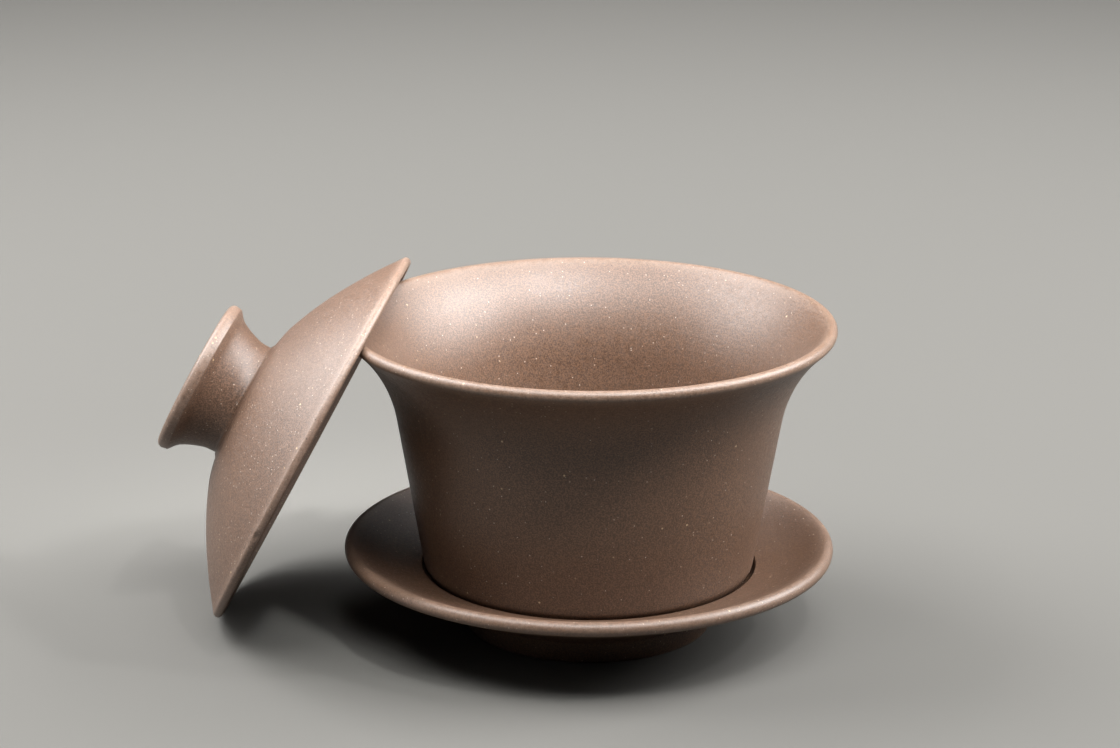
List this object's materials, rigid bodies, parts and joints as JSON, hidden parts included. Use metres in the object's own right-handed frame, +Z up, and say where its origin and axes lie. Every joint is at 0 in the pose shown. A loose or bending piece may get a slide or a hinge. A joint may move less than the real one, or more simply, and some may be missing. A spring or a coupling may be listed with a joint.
{
  "type": "gaiwan",
  "caption": "unglazed brown stoneware lidded tea bowl with flared mouth, standing on a footed saucer, its domed ring-knob lid leaning on the rim",
  "frame": {"origin": "middle of the saucer's foot ring, in the plane of the table", "axes": "+Z up along the bowl's axis, +X to the viewer's right with the lid leaning on the -X side, +Y away from the viewer"},
  "size_m": [0.1333, 0.0964, 0.0716],
  "materials": {
    "clay_saucer": "unglazed satin clay",
    "clay_bowl": "unglazed satin clay",
    "clay_lid": "unglazed satin clay"
  },
  "bodies": {
    "saucer": {"saucer": "clay_saucer"},
    "bowl": {"bowl": "clay_bowl"},
    "lid": {"lid": "clay_lid"}
  },
  "joints": [
    {"name": "bowl_lift", "type": "slide", "parent": "saucer", "child": "bowl", "axis": [0, 0, 1], "range_m": [0, 0.06]},
    {"name": "lid_lift", "type": "slide", "parent": "bowl", "child": "lid", "axis": [-0.8837, 0.0851, 0.4602], "range_m": [0, 0.07]}
  ]
}
